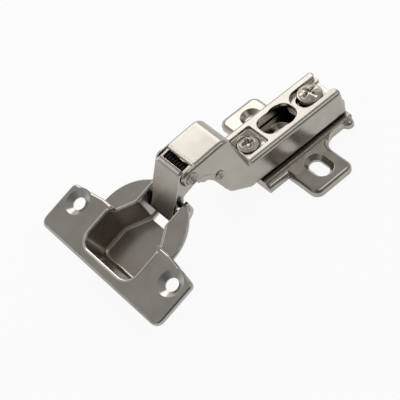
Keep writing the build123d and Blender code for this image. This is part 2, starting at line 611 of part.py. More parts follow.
def closing_turns():
    """How far the outer and the inner link turn, against the arm, from fully open to closed, in radians."""
    b_open, d_open = at_cup(OUTER_CUP_PIN), at_cup(INNER_CUP_PIN)
    outer_length = hypot(b_open[0] - FRONT_PIN[0], b_open[1] - FRONT_PIN[1])
    inner_length = hypot(d_open[0] - REAR_PIN[0], d_open[1] - REAR_PIN[1])
    outer = outer_open = atan2(b_open[1] - FRONT_PIN[1], b_open[0] - FRONT_PIN[0])
    inner = inner_open = atan2(d_open[1] - REAR_PIN[1], d_open[0] - REAR_PIN[0])
    steps = 120
    for step in range(1, steps + 1):
        bar = turned((d_open[0] - b_open[0], d_open[1] - b_open[1]), -radians(CLOSED_TURN) * step / steps)
        for _ in range(8):
            miss_x = (FRONT_PIN[0] + outer_length * cos(outer) + bar[0]
                      - REAR_PIN[0] - inner_length * cos(inner))
            miss_z = (FRONT_PIN[1] + outer_length * sin(outer) + bar[1]
                      - REAR_PIN[1] - inner_length * sin(inner))
            a, b = -outer_length * sin(outer), inner_length * sin(inner)
            c, d = outer_length * cos(outer), -inner_length * cos(inner)
            det = a * d - b * c
            outer -= (d * miss_x - b * miss_z) / det
            inner -= (a * miss_z - c * miss_x) / det
    return outer - outer_open, inner - inner_open


def make_inner_link():
    """A bowed bar with an eye at each end: round at the cup, slotted round the arm's rear pin."""
    rear, middle, along, up, length = inner_link_path()
    spots = loop_play()
    low, high = min(s[1] for s in spots), max(s[1] for s in spots)
    reach = max(abs(s[0]) for s in spots)
    hole_r = REAR_PIN_R + 0.1 + (high - low) / 2
    drift = (high + low) / 2

    def along_link(distance, side):
        return (rear[0] + distance * along[0] + side * up[0], rear[1] + distance * along[1] + side * up[1])

    turn = degrees(atan2(along[1], along[0]))
    near_end, far_end = along_link(0, drift), along_link(-reach, drift)
    eye_r = INNER_CUP_PIN_R + RUNNING + INNER_EYE_WALL
    half = INNER_LINK_THICKNESS / 2
    bow = ThreePointArc(INNER_CUP_PIN, middle, rear)
    bar = Plane.XZ * trace(bow, 2 * half)
    rear_eye = Plane.XZ * (Pos((near_end[0] + far_end[0]) / 2, (near_end[1] + far_end[1]) / 2)
                           * SlotCenterToCenter(reach, 2 * (hole_r + INNER_EYE_WALL - 0.2), rotation=turn))
    cup_eye = Plane.XZ * (Pos(*INNER_CUP_PIN) * Circle(eye_r))
    slot = Plane.XZ * (Pos((near_end[0] + far_end[0]) / 2, (near_end[1] + far_end[1]) / 2)
                       * SlotCenterToCenter(reach, 2 * hole_r, rotation=turn))
    solid = along_y(bar + rear_eye + cup_eye, INNER_LINK_WIDTH / 2)
    solid -= along_y(slot, INNER_LINK_WIDTH)
    solid -= cross_rod(INNER_CUP_PIN, INNER_CUP_PIN_R + RUNNING, INNER_LINK_WIDTH)
    return CUP_FRAME.location * solid


# Spring

def make_torsion_spring():
    """Close-wound on the front pin, with one leg under the arm's web and one down inside the outer link."""
    coil_r = FRONT_PIN_R + SPRING_PIN_GAP + WIRE_R
    width = SPRING_TURNS * SPRING_PITCH
    _, _, angle = link_web()
    lower = angle + radians(OPENING_TILT) + pi / 2 + radians(SPRING_LEG_TURN)
    upper = radians(88)
    turns = SPRING_TURNS + ((lower - upper) % (2 * pi)) / (2 * pi) - 1
    coil = Helix(pitch=width / turns, height=width, radius=coil_r)
    coil = Pos(0, width / 2, 0) * Rot(90, 0, 0) * coil
    coil = Rot(0, -degrees(upper), 0) * coil
    start, end = coil @ 0, coil @ 1
    head, tail = coil % 0, coil % 1
    leg_up = Line(start - head * SPRING_LEG, start)
    leg_down = Line(end, end + tail * SPRING_LEG)
    path = Wire([leg_up.edge(), coil.edge(), leg_down.edge()])
    wire = sweep(Plane(origin=path @ 0, z_dir=path % 0) * Circle(WIRE_R), path=path)
    return Pos(FRONT_PIN[0], 0, FRONT_PIN[1]) * wire


# Cup

def pocket_outline(margin):
    """The pocket and the channel behind it, seen along the cup's axis, at the flange."""
    half, channel = POCKET_WIDTH / 2 + margin, CHANNEL_WIDTH / 2 + margin
    front = POCKET_FRONT - margin
    start = CHANNEL_START + margin / 2
    rear = EAR_REAR + CHANNEL_RUN_OUT
    points = [
        (rear, channel), (start, channel), (POCKET_SHOULDER + margin / 3, half), (front, half), (front, -half),
        (POCKET_SHOULDER + margin / 3, -half), (start, -channel), (rear, -channel),
    ]
    root, shoulder, corner = POCKET_ROOT_R - margin, POCKET_SHOULDER_R + margin, POCKET_CORNER_R + margin
    radii = [0.1, root, shoulder, corner, corner, shoulder, root, 0.1]
    return make_face(FilletPolyline(*points, radius=radii, close=True))


def drafted_pocket(margin, depth, corner):
    """The pocket's form as a solid: walls with draft and a rounded bottom edge."""
    body = extrude(pocket_outline(margin), amount=-depth, taper=CUP_DRAFT)
    bottom = body.edges().group_by(Axis.Z)[0]
    rounded = [e for e in bottom if e.center().X < EAR_REAR + CHANNEL_RUN_OUT / 2]
    return fillet(rounded, corner)


def flange_bar(inset):
    """The flange seen along the cup's axis, drawn in by a margin."""
    half = FLANGE_LENGTH / 2 - inset
    front, rear, end = FLANGE_FRONT + inset, FLANGE_REAR - inset, FLANGE_END_REAR - inset
    points = [(front, -half), (front, half), (end, half), (rear, half * 0.55), (rear, -half * 0.55), (end, -half)]
    radius = FLANGE_CORNER - inset
    return make_face(FilletPolyline(*points, radius=[radius, radius, FLANGE_END_R, FLANGE_WAIST_R, FLANGE_WAIST_R, FLANGE_END_R], close=True))


def make_hinge_cup():
    """Deep-drawn cup: a flange bar with two dished screw holes, the stepped round rim, and the pocket."""
    bar = extrude(flange_bar(0), amount=-RIM_STEP)
    bar = fillet(bar.edges().group_by(Axis.Z)[-1], FLANGE_ROLL)
    bar -= extrude(Pos(0, 0, -CUP_SHEET) * flange_bar(CUP_SHEET), amount=-RIM_STEP)
    rim = Pos(0, 0, -RIM_STEP) * Cylinder(CUP_RIM_R, CUP_SHEET, align=(Align.CENTER, Align.CENTER, Align.MAX))
    under_flange = Box(FLANGE_REAR - FLANGE_END_REAR, FAR, FAR, align=(Align.MAX, Align.CENTER, Align.CENTER))
    root = rim & Pos(FLANGE_REAR, 0, 0) * under_flange
    rim = fillet(rim.edges().group_by(Axis.Z)[-1], RIM_ROUND)
    rim &= Pos(FLANGE_END_REAR, 0, 0) * Box(FAR, FAR, FAR, align=(Align.MIN, Align.CENTER, Align.CENTER))
    rim += root
    step = Pos(FLANGE_END_REAR, 0, -CUP_SHEET / 2) * Box(
        CUP_SHEET, 2 * CUP_RIM_R - 2, RIM_STEP + CUP_SHEET / 2, align=(Align.MIN, Align.CENTER, Align.MAX)
    )
    shell = drafted_pocket(CUP_SHEET, CUP_DEPTH + CUP_SHEET, CUP_FLOOR_FILLET + CUP_SHEET)
    over = extrude(pocket_outline(CUP_SHEET), amount=-RIM_STEP)
    over = over & Pos(FLANGE_REAR, 0, 0) * Box(FAR, FAR, FAR, align=(Align.MIN, Align.CENTER, Align.CENTER))
    cup = bar + rim + step + (shell - over)
    for side in (-1, 1):
        at = Pos(DOOR_SCREW_OFFSET, side * DOOR_SCREW_SPACING / 2)
        cup += at * Cylinder(DOOR_SCREW_DISH_R + 0.7, RIM_STEP, align=(Align.CENTER, Align.CENTER, Align.MAX))
        cup -= at * Cylinder(DOOR_SCREW_HOLE_R, 3 * RIM_STEP)
        cup -= at * Cone(DOOR_SCREW_HOLE_R, DOOR_SCREW_DISH_R, DOOR_SCREW_DISH_DEPTH,
                         align=(Align.CENTER, Align.CENTER, Align.MAX))
    cup -= drafted_pocket(0, CUP_DEPTH, CUP_FLOOR_FILLET)
    cup -= Pos(EAR_REAR + CHANNEL_RUN_OUT, 0, 0) * Box(FAR, FAR, FAR, align=(Align.MIN, Align.CENTER, Align.CENTER))
    window = Pos(WINDOW_FRONT, 0, -CUP_DEPTH + WINDOW_RISE) * Box(
        FAR, WINDOW_WIDTH, FAR, align=(Align.MIN, Align.CENTER, Align.MAX)
    )
    cup -= window
    cup -= ear_trim()
    for place, radius, head_r in CUP_PINS:
        cup -= cross_rod(place, radius, CUP_RIM_R)
        seat = wall_half_width(-place[1])
        cup -= cross_rod(place, head_r, seat + 2) - cross_rod(place, head_r, seat)
    return CUP_FRAME.location * cup


def ear_trim():
    """What is cut away behind the two ears that hold the cup's pins, seen from the side."""
    corner = (EAR_REAR, -CUP_DEPTH + EAR_HEEL_RISE)
    start = WINDOW_FRONT + EAR_HEEL_START
    profile = FilletPolyline(
        (FAR, FAR), (EAR_REAR, FAR), corner, (start, -CUP_DEPTH - CUP_SHEET - OVERLAP), (start, -FAR), (FAR, -FAR),
        radius=[0.1, 0.1, EAR_CORNER_R, 0.1, 0.1, 0.1], close=True,
    )
    return along_y(side_face(profile), CHANNEL_WIDTH / 2 + CUP_SHEET + OVERLAP)


def save(name, solid):
    """Writes one piece as its own file."""
    export_step(Part() + solid, f"parts/{name}.step")


os.makedirs("parts", exist_ok=True)
save("mounting_plate", make_mounting_plate())
save("hinge_arm", make_hinge_arm())
save("fixing_screw", make_fixing_screw())
save("side_adjusting_screw", make_side_adjusting_screw())
save("arm_pin_front", riveted_pin(FRONT_PIN, FRONT_PIN_R, KNUCKLE_HALF, RIVET_HEAD_R, RIVET_HEAD_HEIGHT))
save("arm_pin_rear", riveted_pin(REAR_PIN, REAR_PIN_R, KNUCKLE_HALF, SMALL_HEAD_R, SMALL_HEAD_HEIGHT))
save("torsion_spring", make_torsion_spring())
save("outer_link", make_outer_link())
save("inner_link", make_inner_link())
save("hinge_cup", make_hinge_cup())
for name, (place, radius, head_r) in zip(("cup_pin_outer", "cup_pin_inner"), CUP_PINS):
    save(name, riveted_pin(place, radius, wall_half_width(-place[1]), head_r, SMALL_HEAD_HEIGHT, CUP_FRAME))
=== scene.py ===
"""Looks of a concealed cabinet hinge: nickel-plated pressings, riveted pins, a dark spring and two screws."""
from math import cos, pi, radians, sin

import bpy
import numpy as np
from mathutils import Matrix, Vector


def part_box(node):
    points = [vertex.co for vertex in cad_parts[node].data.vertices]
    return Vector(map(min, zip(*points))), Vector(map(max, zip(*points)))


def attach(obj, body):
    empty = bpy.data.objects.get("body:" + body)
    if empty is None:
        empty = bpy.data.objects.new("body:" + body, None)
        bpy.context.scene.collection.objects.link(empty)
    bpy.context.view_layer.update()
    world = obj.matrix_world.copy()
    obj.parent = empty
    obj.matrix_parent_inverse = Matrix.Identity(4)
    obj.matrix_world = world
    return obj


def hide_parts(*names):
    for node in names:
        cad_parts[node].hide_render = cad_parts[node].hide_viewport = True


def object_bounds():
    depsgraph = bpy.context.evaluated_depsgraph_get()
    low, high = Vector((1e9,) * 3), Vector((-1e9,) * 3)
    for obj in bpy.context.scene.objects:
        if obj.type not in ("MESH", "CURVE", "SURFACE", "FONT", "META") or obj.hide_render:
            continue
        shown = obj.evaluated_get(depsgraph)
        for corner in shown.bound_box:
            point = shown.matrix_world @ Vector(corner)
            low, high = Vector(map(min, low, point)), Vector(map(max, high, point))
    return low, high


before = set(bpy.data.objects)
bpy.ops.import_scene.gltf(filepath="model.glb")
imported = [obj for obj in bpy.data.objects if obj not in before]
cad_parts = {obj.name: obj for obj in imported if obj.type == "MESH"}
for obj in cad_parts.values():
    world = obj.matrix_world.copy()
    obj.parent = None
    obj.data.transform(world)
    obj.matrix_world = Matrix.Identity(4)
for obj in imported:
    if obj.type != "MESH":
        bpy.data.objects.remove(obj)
cad_box = [list(map(float, corner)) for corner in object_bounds()]
MM = 0.001

# The photograph's camera, in metres, as found from the hinge's known sizes
CAMERA_PLACE = (-0.163753, -0.236855, 0.318396)
CAMERA_FORWARD = (0.306481, 0.575850, -0.757935)
CAMERA_UP = (0.591097, 0.508989, 0.625728)
LENS_MM = 113.997
SENSOR_MM = 36.0

# The hinge's own sizes, in millimetres: x runs along the arm, y across it and z up from the cabinet side
CUP_CENTRE = (-62.47, 16.72)       # the cup's axis at the flange's face, along and up
OPENING_TILT = 17.7                # the flange against the cabinet side, in degrees
POCKET_FRONT = -15.1               # along the flange, from the cup's axis
POCKET_SHOULDER = -1.8             # where the pocket's sides start to draw in
CHANNEL_START = 6.4                # where they have drawn in to the links' channel
CHANNEL_REAR = 15.2
POCKET_HALF_WIDTH = 12.5
CHANNEL_HALF_WIDTH = 7.5
POCKET_CORNER_RADII = [2.0, 3.5, 4.6, 4.6, 3.5, 2.0]
POCKET_WALL_LEAN = 0.176           # how far the pocket's wall runs in for each millimetre down
RIM_STEP = 1.7                     # the rim's crescents lie this far under the flange
RIM_STEP_START = -1.9              # the step's start and length, along the flange
RIM_STEP_LENGTH = 2.0
WEB_EDGE = (-39.55, 31.0 - 0.46)   # middle of the web's front edge, along and up
WEB_SLOPE = 4.2                    # in degrees
WEB_HALF_WIDTH = 6.3
THROAT_NOSE = (-41.9, 23.78)       # the lower edge of the knuckle's walls: its two ends and its corner between
THROAT_CORNER = (-36.4, 23.3)
THROAT_FOOT = (-30.6, 10.7)
THROAT_RADIUS = 9.0
KNUCKLE_WALL = (6.21, 7.444)       # just inside the wall's two faces, from the middle plane
ADJUSTING_X = -14.9                # the front screw's axis
WELL_HALF_LENGTH = 4.62
WELL_HALF_WIDTH = 4.97
WELL_SCREW_RADIUS = 3.88

# Screw stems from the head down: height, radius, depth of the thread
FIXING_STEM = [(14.05, 4.395, 0), (14.05, 2.9, 0), (13.8, 2.9, 0.28), (5.7, 2.9, 0.28), (5.6, 2.3, 0)]
ADJUSTING_STEM = [(12.5, 3.69, 0), (12.5, 2.5, 0), (12.4, 2.5, 0.25), (8.7, 2.5, 0.25), (8.7, 2.0, 0),
                  (7.0, 2.0, 0), (7.0, 3.4, 0), (5.5, 3.4, 0)]

# Soft boxes: direction from the hinge, then distance, width and height in metres, and power in watts
HINGE_MIDDLE = (-0.015, 0.0, 0.012)
SOFT_BOXES = [
    ("rear_soft_box", (0.30, 0.72, 0.685), 0.42, 0.30, 0.20, 0.46),
    ("front_soft_box", (0.30, -0.50, 0.81), 0.5, 0.34, 0.14, 0.25),
    ("left_soft_box", (-0.70, 0.60, 0.42), 0.5, 0.12, 0.12, 0.05),
]


# Camera

def place_camera():
    """A long lens above the cup's end of the hinge, rolled so that the arm runs up to the right."""
    forward = Vector(CAMERA_FORWARD)
    up = Vector(CAMERA_UP)
    right = forward.cross(up)
    lens = bpy.data.cameras.new("camera")
    lens.sensor_width = SENSOR_MM
    lens.lens = LENS_MM
    lens.clip_start = 0.01
    lens.clip_end = 20.0
    camera = bpy.data.objects.new("camera", lens)
    turn = Matrix((right, up, -forward)).transposed().to_4x4()
    camera.matrix_world = Matrix.Translation(Vector(CAMERA_PLACE)) @ turn
    bpy.context.scene.collection.objects.link(camera)
    bpy.context.scene.camera = camera


# Materials

def srgb(code):
    """A colour written as an sRGB hex value, turned to linear."""
    parts = [int(code[i:i + 2], 16) / 255 for i in (0, 2, 4)]
    return [c / 12.92 if c <= 0.04045 else ((c + 0.055) / 1.055) ** 2.4 for c in parts] + [1.0]


def per_metre(size_mm):
    """A texture's scale from the real size of its spots."""
    return 1 / (size_mm * MM)


def add(tree, kind, settings=None, links=None):
    """Adds a node, sets its properties and socket values, and links sockets to other nodes' outputs."""
    node = tree.nodes.new(kind)
    for key, value in (settings or {}).items():
        if isinstance(key, str) and hasattr(node, key):
            setattr(node, key, value)
        else:
            node.inputs[key].default_value = value
    for key, source in (links or {}).items():
        tree.links.new(source, node.inputs[key])
    return node


def ramp(tree, source, stops):
    """A colour ramp through (position, hex colour) stops."""
    node = add(tree, "ShaderNodeValToRGB", links={"Fac": source})
    band = node.color_ramp
    while len(band.elements) < len(stops):
        band.elements.new(0.5)
    for element, (position, code) in zip(band.elements, stops):
        element.position = position
        element.color = srgb(code)
    return node.outputs["Color"]


def span(tree, source, low, high, to_low, to_high):
    """A value mapped from one range to another, clamped."""
    ends = {"From Min": low, "From Max": high, "To Min": to_low, "To Max": to_high}
    return add(tree, "ShaderNodeMapRange", ends, {"Value": source}).outputs["Result"]


def reckon(tree, operation, first, second):
    """One arithmetic step on two values or sockets."""
    node = add(tree, "ShaderNodeMath", {"operation": operation})
    for socket, value in zip(node.inputs, (first, second)):
        if isinstance(value, bpy.types.NodeSocket):
            tree.links.new(value, socket)
        else:
            socket.default_value = value
    return node.outputs[0]


def blend(tree, share, first, second):
    """A mix of two colours, each a socket or a value."""
    node = add(tree, "ShaderNodeMix", {"data_type": "RGBA"}, {0: share})
    for socket, value in ((node.inputs[6], first), (node.inputs[7], second)):
        if isinstance(value, bpy.types.NodeSocket):
            tree.links.new(value, socket)
        else:
            socket.default_value = value
    return node.outputs[2]


def empty_tree(owner):
    """The cleared node tree of a material or a world."""
    owner.use_nodes = True
    owner.node_tree.nodes.clear()
    return owner.node_tree


def plated_metal(name, pale, deep, edge, roughness, edge_mm, painted_shade=None, shade_reach_mm=4.0, dome=0.0,
                 alone=True, shade_from=0.9):
    """Plated steel: mottled tone, fine dimpling, rounded edges with a painted highlight, painted shade in the
    hollows.

    The dimpling is coarser than the real grain, which is too fine to show. The dome is how much a flat pressing
    bellies out, as a slope for each metre away from the middle. The painted shade starts where the open share of
    the surroundings falls below its given threshold, and alone means that only the piece's own forms count as
    closing it in.
    """
    tone_mm, dimple_mm, dimple_depth_mm = 6.25, 0.4, 0.004
    shade_fade, shade_roughens = 0.48, 0.12
    material = bpy.data.materials.new(name)
    tree = empty_tree(material)
    place = add(tree, "ShaderNodeTexCoord").outputs["Object"]
    cloud = add(tree, "ShaderNodeTexNoise", {"Scale": per_metre(tone_mm), "Detail": 2.0, "Roughness": 0.5},
                {"Vector": place})
    fine = add(tree, "ShaderNodeTexNoise", {"Scale": per_metre(dimple_mm), "Detail": 2.0, "Roughness": 0.5},
               {"Vector": place})
    tone = ramp(tree, cloud.outputs["Fac"], [(0.32, deep), (0.68, pale)])
    soft = add(tree, "ShaderNodeBevel", {"samples": 8, "Radius": edge_mm * MM}).outputs["Normal"]
    true = add(tree, "ShaderNodeNewGeometry").outputs["Normal"]
    facing = add(tree, "ShaderNodeVectorMath", {"operation": "DOT_PRODUCT"}, {0: soft, 1: true})
    # Painted highlight: near rounded edges, where the bevelled normal turns from the true one, the colour goes paler
    # towards the edge colour.
    edge_highlight = span(tree, facing.outputs["Value"], 0.99, 0.9, 0.0, 0.8)
    colour = blend(tree, edge_highlight, tone, srgb(edge))
    rough = span(tree, fine.outputs["Fac"], 0.3, 0.7, roughness * 0.93, roughness * 1.07)
    # Painted shade: where ambient occlusion finds the surroundings closed in, the colour darkens towards the shade
    # colour and the roughness rises.
    if painted_shade:
        hollow = add(tree, "ShaderNodeAmbientOcclusion",
                     {"samples": 8, "only_local": alone, "Distance": shade_reach_mm * MM})
        depth = span(tree, hollow.outputs["AO"], shade_from - shade_fade, shade_from, 1.0, 0.0)
        colour = blend(tree, depth, colour, srgb(painted_shade))
        rough = reckon(tree, "ADD", rough, reckon(tree, "MULTIPLY", depth, shade_roughens))
    if dome:
        across = add(tree, "ShaderNodeSeparateXYZ", links={"Vector": place}).outputs["Y"]
        belly = reckon(tree, "MULTIPLY", reckon(tree, "MULTIPLY", across, across), -0.5 * dome)
        soft = add(tree, "ShaderNodeBump", {"Strength": 1.0, "Distance": 1.0},
                   {"Height": belly, "Normal": soft}).outputs["Normal"]
    bump = add(tree, "ShaderNodeBump", {"Strength": 0.2, "Distance": dimple_depth_mm * MM},
               {"Height": fine.outputs["Fac"], "Normal": soft})
    shader = add(tree, "ShaderNodeBsdfPrincipled", {"Metallic": 1.0},
                 {"Base Color": colour, "Roughness": rough, "Normal": bump.outputs["Normal"]})
    add(tree, "ShaderNodeOutputMaterial", links={"Surface": shader.outputs["BSDF"]})
    return material


def spring_steel():
    """Oil-tempered spring wire: near black, with an uneven oily sheen."""
    spot_mm = 10 / 7
    material = bpy.data.materials.new("oil_tempered_spring_wire")
    tree = empty_tree(material)
    place = add(tree, "ShaderNodeTexCoord").outputs["Object"]
    oil = add(tree, "ShaderNodeTexNoise", {"Scale": per_metre(spot_mm), "Detail": 3.0}, {"Vector": place})
    tone = ramp(tree, oil.outputs["Fac"], [(0.3, "141312"), (0.7, "2b2927")])
    rough = span(tree, oil.outputs["Fac"], 0.3, 0.7, 0.34, 0.5)
    shader = add(tree, "ShaderNodeBsdfPrincipled", {"Metallic": 0.85}, {"Base Color": tone, "Roughness": rough})
    add(tree, "ShaderNodeOutputMaterial", links={"Surface": shader.outputs["BSDF"]})
    return material


def dress(node, material):
    """Gives a CAD node its finish."""
    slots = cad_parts[node].data.materials
    slots.clear()
    slots.append(material)


# Skins

def s_curve(share):
    """An S-shaped rise from 0 to 1, flat at both ends."""
    return share * share * (3 - 2 * share)


def from_end(line):
    """For each point of a line, how many points lie between it and the nearer end."""
    place = np.arange(len(line))
    return np.minimum(place, place[::-1])


def volume(points, quads):
    """The volume inside a skin of four-cornered faces, times six; below zero where they face inwards."""
    corners = points[quads]
    fan = np.cross(corners[:, 1], corners[:, 2]) + np.cross(corners[:, 2], corners[:, 3])
    return np.einsum("ij,ij->", corners[:, 0], fan)


def make_piece(name, points, faces, material):
    """One smooth-shaded object at the origin."""
    mesh = bpy.data.meshes.new(name)
    mesh.from_pydata(points.tolist(), [], faces)
    mesh.shade_smooth()
    mesh.materials.append(material)
    piece = bpy.data.objects.new(name, mesh)
    bpy.context.scene.collection.objects.link(piece)
    return piece


def turned(name, rings, material):
    """A closed skin from rings of points; the first and last ring shrink to one point each, as poles."""
    count, around = rings.shape[:2]
    points = np.concatenate([rings[0].mean(0)[None], rings[1:-1].reshape(-1, 3), rings[-1].mean(0)[None]])
    ring = 1 + np.arange((count - 2) * around).reshape(count - 2, around)
    after = np.roll(ring, -1, axis=1)
    sides = np.stack([ring[:-1], ring[1:], after[1:], after[:-1]], axis=-1).reshape(-1, 4)
    caps = [(0, int(a), int(b)) for a, b in zip(ring[0], after[0])]
    caps += [(len(points) - 1, int(b), int(a)) for a, b in zip(ring[-1], after[-1])]
    faces = caps + sides.tolist()
    if volume(points, sides) < 0:
        faces = [face[::-1] for face in faces]
    return make_piece(name, points, faces, material)


def hoop(name, rings, material):
    """A closed skin from rings of points whose last ring joins the first."""
    count, around = rings.shape[:2]
    index = np.arange(count * around).reshape(count, around)
    below, after = np.roll(index, -1, axis=0), np.roll(index, -1, axis=1)
    faces = np.stack([index, below, np.roll(below, -1, axis=1), after], axis=-1).reshape(-1, 4)
    points = rings.reshape(-1, 3)
    faces = faces[:, ::-1] if volume(points, faces) < 0 else faces
    return make_piece(name, points, faces.tolist(), material)


def circle(centre, radius, turn, z):
    """One level ring of points round an upright line."""
    radius = np.broadcast_to(radius, turn.shape)
    x = centre[0] + radius * np.cos(turn)
    y = centre[1] + radius * np.sin(turn)
    return np.stack([x, y, np.full(turn.shape, z)], axis=-1)[None]


def rounded(points, radii, step=0.25):
    """A line through corner points with each inner corner turned into an arc, as evenly spaced points."""
    points = np.array(points, float)
    line = [points[0]]
    for before, corner, after, radius in zip(points[:-2], points[1:-1], points[2:], radii):
        into, out = (before - corner), (after - corner)
        into, out = into / np.linalg.norm(into), out / np.linalg.norm(out)
        half = np.arccos(np.clip(into @ out, -1, 1)) / 2
        middle = corner + (into + out) / np.linalg.norm(into + out) * radius / sin(half)
        first, last = corner + into * radius / np.tan(half), corner + out * radius / np.tan(half)
        share = np.linspace(0, 1, 14)[:, None]
        arc = (first - middle) * (1 - share) + (last - middle) * share
        line.extend(middle + arc / np.linalg.norm(arc, axis=1, keepdims=True) * radius)
    line = np.array(line + [points[-1]])
    run = np.insert(np.cumsum(np.linalg.norm(np.diff(line, axis=0), axis=1)), 0, 0.0)
    even = np.linspace(0, run[-1], int(run[-1] / step))
    return np.stack([np.interp(even, run, line[:, i]) for i in range(line.shape[1])], axis=1)


def in_cup(along, across, up):
    """Points given along, across and above the cup's flange, in millimetres, set in the frame."""
    tilt = radians(OPENING_TILT)
    x = CUP_CENTRE[0] + along * cos(tilt) - up * sin(tilt)
    z = CUP_CENTRE[1] + along * sin(tilt) + up * cos(tilt)
    return np.stack([x, across, z], axis=-1) * MM


# Pins and screws

def rivet(node, body, shank_mm, seat_mm, material):
    """A riveted pin across the hinge: on each side a ring, a groove in it and the dimple that the peening tool left.

    Each head is a profile turned round the pin: its height above the seat, as a share of the head's height, at
    distances from the middle, as shares of its radius. The seat is the wall's face, from the middle plane.
    """
    low, high = (np.array(corner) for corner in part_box(node))
    middle, radius = (low + high) / 2, (high[2] - low[2]) / 2
    half = (high[1] - low[1]) / 2
    rise = half - seat_mm * MM
    share = np.array([0, 0.10, 0.18, 0.26, 0.33, 0.40, 0.47, 0.54, 0.62, 0.70, 0.78, 0.86, 0.93, 0.98, 1.0, 1.0])
    level = np.array([0.30, 0.32, 0.45, 0.80, 0.96, 0.90, 0.62, 0.52, 0.56, 0.84, 0.99, 1.0, 0.88, 0.60, 0.3, 0.0])
    fine = np.linspace(0, len(share) - 1, 90)
    steps = np.arange(len(share))
    reach, lift = np.interp(fine, steps, share), np.interp(fine, steps, level)
    lift = np.convolve(np.pad(lift, 3, mode="edge"), np.ones(7) / 7, mode="valid")
    reach = np.append(reach * radius, shank_mm * MM)
    across = np.append(half - rise * (1 - lift), half - rise)
    reach, across = np.concatenate([reach, reach[::-1]]), np.concatenate([across, -across[::-1]])
    turn = np.linspace(0, 2 * pi, 72, endpoint=False)
    rings = np.empty((len(reach), len(turn), 3))
    rings[:, :, 0] = middle[0] + reach[:, None] * np.cos(turn)
    rings[:, :, 1] = middle[1] + across[:, None]
    rings[:, :, 2] = middle[2] + reach[:, None] * np.sin(turn)
    piece = turned(node + "_riveted", rings, material)
    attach(piece, body)
    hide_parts(node)


def screw(node, body, stem, turn_deg, crown_mm, span_mm, material):
    """A cross-recessed screw: crowned head, recess with raised lips, and a helical thread.

    The head's top is a height over a disc: a crown that falls with the square of the distance, less a recess whose
    four arms have sloping sides and grow shallow outwards, plus a low lip along the arms and a shallow tick between
    them. Round the disc the edge turns down by a quarter circle. Below it the radius follows the stem, and on
    threaded lengths it swings with the height and the angle together.
    """
    edge_round, sink, recess_depth, pitch = 0.35 * MM, 0.05 * MM, 1.3 * MM, 0.8 * MM
    side_run, lip_out, lip_width, lip_height = 0.62 * MM, 0.45 * MM, 0.22 * MM, 0.1 * MM
    tick_width, tick_depth = 0.12 * MM, 0.12 * MM
    low, high = (np.array(corner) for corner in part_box(node))
    centre, head = (low + high) / 2, (high[0] - low[0]) / 2
    top = high[2]
    turn = np.linspace(0, 2 * pi, 240, endpoint=False)
    ring = np.linspace(0, 1, 76)[:, None] * (head - edge_round)
    x, y = ring * np.cos(turn - radians(turn_deg)), ring * np.sin(turn - radians(turn_deg))
    beside, along = np.minimum(abs(x), abs(y)), np.maximum(abs(x), abs(y))
    reach = span_mm / 2 * MM
    width = (0.66 - 0.1 * np.clip(along / reach, 0, 1)) * MM
    wall = s_curve(np.clip((width - beside) / side_run + 0.5, 0, 1))
    fall = np.clip(1.06 - (along / reach) ** 1.6, 0, 1)
    lip = np.exp(-((beside - width - lip_out) / lip_width) ** 2) * np.clip(1.15 - along / reach, 0, 1)
    tick = np.exp(-((abs(abs(x) - abs(y))) / tick_width) ** 2)
    tick = tick * (along > 0.5 * reach) * (along < 0.8 * reach)
    height = top - sink - crown_mm * MM * (ring / head) ** 2
    height = height - recess_depth * wall * fall + lip_height * lip - tick_depth * tick * (1 - wall)
    rows = [np.stack([centre[0] + ring * np.cos(turn), centre[1] + ring * np.sin(turn), height], axis=-1)]
    edge = top - sink - crown_mm * MM * ((head - edge_round) / head) ** 2
    for swing in np.linspace(0.15, 1, 7) * pi / 2:
        radius = head - edge_round * (1 - sin(swing))
        rows.append(circle(centre, radius, turn, edge - edge_round * (1 - cos(swing))))
    for (z0, r0, cut0), (z1, r1, cut1) in zip(stem[:-1], stem[1:]):
        for share in np.linspace(0, 1, 60 if cut0 else 3):
            z = (z0 + (z1 - z0) * share) * MM
            radius = (r0 + (r1 - r0) * share) * MM
            if cut0:
                phase = (z / pitch - turn / (2 * pi)) % 1
                radius = radius - cut0 * MM * abs(2 * phase - 1) * min(1, 4 * share, 4 * (1 - share))
            rows.append(circle(centre, radius, turn, z))
    rows.append(circle(centre, 0.0, turn, stem[-1][0] * MM))
    piece = turned(node + "_threaded", np.concatenate(rows), material)
    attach(piece, body)
    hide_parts(node)


# Pressed edges

